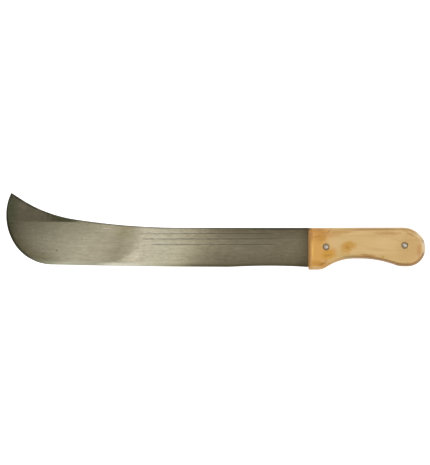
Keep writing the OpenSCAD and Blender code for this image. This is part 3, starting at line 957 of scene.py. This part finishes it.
def ground_steel():
    """Carbon steel sheet, ground lengthwise on a belt and oiled.

    The eye gets soft lines along the blade, a sheen that spreads across them, broad bands of
    painted reflection, brownish tarnish, and a tip that the belt never reached.
    """
    material, tree = new_material("ground carbon steel")
    place = machete_places(tree)
    x, y, out = distances(tree, place)
    # The oil lies in faint clouds, 55 mm long and 25 mm high
    cloud = clouds(tree, place, (55, 25, 25))
    base = add(tree, "Mix", LAID_OVER, Factor_Float=cloud, A_Color="#dbd6bc", B_Color="#d9ceb6")
    # Painted reflection: broad slanting bands of lighter and darker tone added to the lamps'
    # real sheen, and painted shade where the flat meets the handle
    slanted = add(
        tree,
        "Mapping",
        SIZES,
        Vector=place,
        Location=(BLADE_FAR, 0, 0),
        Rotation=(0, 0, -BAND_SLANT),
        Scale=(-BLADE_FAR, -BLADE_FAR, -BLADE_FAR),
    )
    along = add(tree, "SeparateXYZ", Vector=slanted).outputs["X"]
    shift = add(tree, "MapRange", Value=cloud, To_Min=-0.02, To_Max=0.02)
    along = add(tree, "Math", PLUS, Value=along, Value_001=shift)
    base = shaded(tree, base, along, FLAT_PAINTED_REFLECTIONS)
    # Darker towards the spine and the edge near the heel, and towards the spine near the tip;
    # near the heel the narrow band right at the spine is a painted dark reflection
    for tones, high, none, full in BLADE_ENDS:
        width = add(tree, "MapRange", Value=y, From_Min=WIDTH_FROM, From_Max=high)
        near = add(tree, "MapRange", SMOOTH, Value=x, From_Min=none, From_Max=full)
        base = shaded(tree, base, width, tones, near)
    # Darker beside the round of the belly
    inside = spot(tree, place, BELLY_MIDDLE, BELLY_REACH, 0.0, BELLY_CORE)
    left = add(tree, "MapRange", SMOOTH, Value=x, From_Min=-280.0, From_Max=-318.0)
    outside = add(tree, "Math", {"operation": "SUBTRACT"}, Value=1.0, Value_001=inside)
    belly = add(tree, "Math", TIMES, Value=outside, Value_001=left)
    base = add(tree, "Mix", MULTIPLIED, Factor_Float=belly, A_Color=base, B_Color="#c4bfab")
    # The tip above one line keeps the dark skin of the rolled sheet
    wavy = add(tree, "MapRange", Value=cloud, To_Min=-1.0, To_Max=1.0)
    rise = add(tree, "Math", PLUS, Value=y, Value_001=wavy)
    above = add(tree, "MapRange", SMOOTH, Value=rise, From_Min=5.8, From_Max=7.8)
    left = add(tree, "MapRange", SMOOTH, Value=x, From_Min=-262.0, From_Max=-282.0)
    skin = add(tree, "Math", TIMES, Value=above, Value_001=left)
    tone = with_marks(tree, place, "#968e78", SKIN_MARKS)
    base = add(tree, "Mix", LAID_OVER, Factor_Float=skin, A_Color=base, B_Color=tone)
    # Stains and knocks, with marks of painted reflection and painted shade among them
    base = with_marks(tree, place, base, BLADE_MARKS)
    # Lines of the belt's grit, 0.1 mm apart on the real blade, drawn ten times coarser
    grit = clouds(tree, place, (70, 1, 1), Detail=4.0, Roughness=0.6)
    base = shaded(tree, base, grit, GRIT_TONES)
    # Tarnish in soft flecks, from 5 mm by 2 mm down to specks of half a millimetre
    fleck = clouds(tree, place, (5, 2.2, 2.2), Detail=4.0, Roughness=0.75)
    base = shaded(tree, base, fleck, FLECK_TONES)
    # Specks of rust under a millimetre across, about two to the square centimetre
    in_sizes = add(tree, "Mapping", SIZES, Vector=place, Scale=(8, 6, 8))
    speck = add(tree, "TexVoronoi", Vector=in_sizes, Scale=1.0)
    base = blended(tree, base, "#4d4534", speck, 0.03, 0.08, 0.3, 0.0)
    # A painted highlight along the upper lip of each groove
    depth = add(tree, "MapRange", Value=y, From_Min=-LIP_SPAN, From_Max=0.0)
    lips = add(tree, "ValToRGB", Fac=depth, stops=lip_highlight_stops())
    start = add(tree, "MapRange", SMOOTH, Value=x, From_Min=-205.0, From_Max=-180.0)
    end = add(tree, "MapRange", SMOOTH, Value=x, From_Min=-28.0, From_Max=-60.0)
    length = add(tree, "Math", TIMES, Value=start, Value_001=end)
    lips = add(tree, "Math", TIMES, Value=lips, Value_001=length)
    base = add(tree, "Mix", LAID_OVER, Factor_Float=lips, A_Color=base, B_Color="#ddd6bd")
    # Painted shade in each groove's bottom, faint towards the tip and darker towards the heel
    shade_fades = add(tree, "MapRange", Value=x, From_Min=-90.0, From_Max=-190.0)
    tone = add(tree, "Mix", LAID_OVER, Factor_Float=shade_fades, A_Color="#544e3c", B_Color="#dad4be")
    base = blended(tree, base, tone, out, 0.7, 0.99, 0.4, 0.0)
    # The gloss is a little uneven, and the skin is duller
    rough = add(tree, "MapRange", Value=cloud, To_Min=0.235, To_Max=0.265)
    duller = add(tree, "Math", TIMES, Value=skin, Value_001=0.12)
    rough = add(tree, "Math", PLUS, Value=rough, Value_001=duller)
    across_lines = add(tree, "CombineXYZ", Y=1.0)
    finish_metal(tree, base, rough, grit, 0.002, Anisotropic=1.0, Tangent=across_lines)
    return material


def edge_steel():
    """The cutting edge, ground on a wheel by hand, painted with a reflection: bright along the
    middle, dark elsewhere.
    """
    material, tree = new_material("hand ground cutting edge")
    place = machete_places(tree)
    x, y, out = distances(tree, place)
    # Painted reflection: the bevel's tones along the blade, for its middle and for its upper
    # border
    along = add(tree, "MapRange", Value=x, From_Min=BLADE_FAR, From_Max=0.0)
    middle = add(tree, "ValToRGB", Fac=along, stops=EDGE_PAINTED_REFLECTIONS)
    upper = add(tree, "ValToRGB", Fac=along, stops=BORDER_PAINTED_REFLECTIONS)
    base = blended(tree, middle, upper, out, 0.5, 0.98)
    # Strokes of the wheel, 3 mm long and a millimetre apart
    strokes = clouds(tree, place, (3, 1, 1), Detail=4.0, Roughness=0.6)
    base = shaded(tree, base, strokes, GRIT_TONES)
    finish_metal(tree, base, 0.36, strokes, 0.01)
    return material


def sheared_steel():
    """The spine as the shears left it: dull and nearly black, with fine upright marks."""
    material, tree = new_material("sheared steel spine")
    # Marks of the shears, half a millimetre apart and as high as the sheet is thick
    marks = clouds(tree, machete_places(tree), (0.6, 0.6, 5), Detail=3.0)
    base = add(tree, "Mix", LAID_OVER, Factor_Float=marks, A_Color="#2b271d", B_Color="#484232")
    finish_metal(tree, base, 0.5, marks, 0.02)
    return material


def lacquered_wood():
    """Pale hardwood, sanded and dipped in clear lacquer.

    The eye gets straight soft grain under an even gloss, orange heartwood at the front with
    brown figure in it, and painted shade that browns the rounds, the lower ones most.
    """
    material, tree = new_material("lacquered hardwood")
    place = machete_places(tree)
    x, y, out = distances(tree, place)
    # Paler and browner patches, 40 mm long and 14 mm high
    cloud = clouds(tree, place, (40, 14, 14))
    base = blended(tree, "#dcb97f", "#d4b172", cloud, 0.3, 0.7)
    # Growth rings cut at a low angle: soft bands 4 mm wide and 60 mm long
    rings = clouds(tree, place, (60, 4.5, 4.5), Detail=3.0, Distortion=0.6)
    base = blended(tree, base, "#c49a5c", rings, 0.48, 0.66, 0.0, 0.35)
    # Orange heartwood at the front
    shift = add(tree, "MapRange", Value=cloud, To_Min=-9.0, To_Max=9.0)
    front = add(tree, "Math", PLUS, Value=x, Value_001=shift)
    base = blended(tree, base, "#daa04a", front, 10.0, 34.0, 0.9, 0.0)
    # The wood's figure, with a few marks of painted shade and painted highlight among it
    base = with_marks(tree, place, base, WOOD_FIGURE_AND_PAINTED_LIGHT)
    # Painted shade: the rounds darker and browner, the lower ones most, and more towards the
    # butt
    top = SCALE_TOP - BLADE_MIDDLE
    rounds = add(tree, "MapRange", SMOOTH, Value=out, From_Min=top - 0.03, From_Max=top - 0.6)
    below = add(tree, "MapRange", SMOOTH, Value=y, From_Min=-27.0, From_Max=-33.0, To_Min=0.5)
    span = {"From_Min": 25.0, "From_Max": 74.0, "To_Min": 0.3, "To_Max": 0.82}
    rear = add(tree, "MapRange", SMOOTH, Value=x, **span)
    round_shade = add(tree, "Math", TIMES, Value=rounds, Value_001=below)
    round_shade = add(tree, "Math", TIMES, Value=round_shade, Value_001=rear)
    base = add(tree, "Mix", LAID_OVER, Factor_Float=round_shade, A_Color=base, B_Color="#916530")
    # A painted highlight on the round of the butt, fading out lower down the round towards the
    # blade
    butt_highlight = with_marks(tree, place, base, BUTT_HIGHLIGHT_AND_NICKS)
    base = blended(tree, base, butt_highlight, out, 5.0, 8.5)
    # Fibres 0.3 mm wide, drawn twice as coarse
    fibres = clouds(tree, place, (18, 0.6, 0.6), Detail=4.0, Roughness=0.6)
    base = shaded(tree, base, fibres, FIBRE_TONES)
    bump = add(tree, "Bump", Strength=0.2, Distance=0.03 * MM, Height=fibres)
    shader = add(
        tree,
        "BsdfPrincipled",
        Base_Color=base,
        Roughness=0.5,
        Specular_IOR_Level=0.1,
        Normal=bump,
        Coat_Weight=1.0,
        Coat_Roughness=0.28,
    )
    add(tree, "OutputMaterial", Surface=shader)
    return material


def hammered_aluminium():
    """Soft aluminium wire, headed over with a hammer: pale, matt and a little uneven."""
    material, tree = new_material("hammered aluminium")
    # Small dents and scuffs, 1.4 mm across
    marks = clouds(tree, machete_places(tree), (1.4, 1.4, 1.4), Detail=3.0)
    base = blended(tree, "#aea698", "#c4bdb0", marks, 0.35, 0.65)
    finish_metal(tree, base, 0.55, marks, 0.05)
    return material


def dull_washer():
    """Stamped steel washers under the lacquer, brown and dull."""
    material, tree = new_material("dull washer steel")
    # Blotches of rust and lacquer, 1.1 mm across
    marks = clouds(tree, machete_places(tree), (1.1, 1.1, 1.1), Detail=3.0)
    base = add(tree, "Mix", LAID_OVER, Factor_Float=marks, A_Color="#7d6c4e", B_Color="#a39274")
    finish_metal(tree, base, 0.5, marks, 0.03)
    return material


def pale_floor():
    """A matt white board that shows as white and still keeps the shadow."""
    material, tree = new_material("matt white board")
    # Its grain shows as faint patches 25 mm across
    own = add(tree, "TexCoord").outputs["Object"]
    grain = add(tree, "TexNoise", Vector=own, Scale=40.0)
    base = add(tree, "Mix", LAID_OVER, Factor_Float=grain, A_Color="#f2f2f0", B_Color="#efefed")
    path = add(tree, "LightPath")
    camera = path.outputs["Is Camera Ray"]
    glossy = path.outputs["Is Glossy Ray"]
    through = path.outputs["Is Transmission Ray"]
    seen = add(tree, "Math", PLUS, Value=camera, Value_001=glossy)
    seen = add(tree, "Math", PLUS, Value=seen, Value_001=through)
    glow = add(tree, "Math", TIMES, Value=seen, Value_001=FLOOR_GLOW)
    shader = add(
        tree,
        "BsdfPrincipled",
        Base_Color=base,
        Roughness=0.9,
        Specular_IOR_Level=0.0,
        Emission_Color="#ffffff",
        Emission_Strength=glow,
    )
    add(tree, "OutputMaterial", Surface=shader)
    return material


def light_room():
    """White walls round the floor and a greyer ceiling, which is what polished steel shows."""
    world = bpy.data.worlds.new("studio")
    bpy.context.scene.world = world
    world.use_nodes = True
    tree = world.node_tree
    tree.nodes.clear()
    way_out = add(tree, "TexCoord").outputs["Generated"]
    up = add(tree, "SeparateXYZ", Vector=way_out).outputs["Z"]
    level = add(
        tree,
        "MapRange",
        SMOOTH,
        Value=up,
        From_Min=WALL_TOP,
        From_Max=CEILING_START,
        To_Min=WALL_LEVEL,
        To_Max=CEILING_LEVEL,
    )
    background = add(tree, "Background", Color="#ffffff", Strength=level)
    add(tree, "OutputWorld", Surface=background)


def add_lamp(name, place, aim, size, power):
    """A soft square or oblong lamp, in metres, that the camera doesn't see."""
    bpy.ops.object.light_add(type="AREA", location=place)
    lamp = bpy.context.object
    lamp.name = name
    lamp.data.shape = "RECTANGLE"
    lamp.data.size = size[0]
    lamp.data.size_y = size[1]
    lamp.data.energy = power
    lamp.rotation_euler = (Vector(aim) - Vector(place)).to_track_quat("-Z", "Y").to_euler()
    lamp.visible_camera = False


def make_studio():
    """The floor, the lamps and the camera straight above the machete."""
    bpy.ops.object.select_all(action="DESELECT")
    bpy.ops.mesh.primitive_plane_add(size=FLOOR_SIDE)
    floor = bpy.context.object
    floor.name = "floor"
    floor.data.materials.append(pale_floor())
    light_room()
    for lamp in LAMPS:
        add_lamp(*lamp)
    x, y = PICTURE_CENTRE
    height = CAMERA_HEIGHT + PICTURE_PLANE * MM
    bpy.ops.object.camera_add(location=(x * MM, y * MM, height))
    camera = bpy.context.object
    camera.data.sensor_width = SENSOR_WIDTH
    camera.data.lens = SENSOR_WIDTH * CAMERA_HEIGHT / (PICTURE_LENGTH * MM)
    camera.data.clip_end = VIEW_DEPTH
    bpy.context.scene.camera = camera
    bpy.context.scene.view_settings.view_transform = "Standard"


make_blade(ground_steel(), edge_steel(), sheared_steel())
make_scales(lacquered_wood())
make_washers(dull_washer())
make_rivets(hammered_aluminium())
make_studio()
